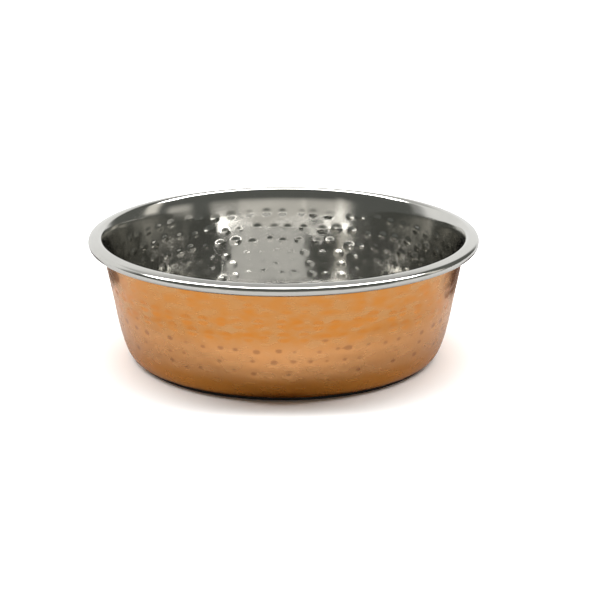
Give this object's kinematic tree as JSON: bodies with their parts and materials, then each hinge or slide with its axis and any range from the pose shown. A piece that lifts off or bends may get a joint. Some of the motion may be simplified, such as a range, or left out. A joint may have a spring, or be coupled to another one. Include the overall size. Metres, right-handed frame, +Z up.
{
  "type": "hammered bowl",
  "caption": "Round flared serving bowl with a polished steel liner, rolled rim, hammered copper outer shell and a rubber ring under the base.",
  "frame": {"origin": "on the bowl's axis, on the surface that the rubber ring stands on", "axes": "+Z up along the bowl's axis; the bowl is round, so +X and +Y are arbitrary"},
  "size_m": [0.216, 0.216, 0.0695],
  "materials": {
    "polished_steel": "polished, hammered from outside",
    "hammered_copper": "satin copper, hammered",
    "black_rubber": "matt black"
  },
  "bodies": {
    "root": {"steel_liner": "polished_steel", "copper_shell": "hammered_copper", "base_ring": "black_rubber"}
  },
  "joints": []
}
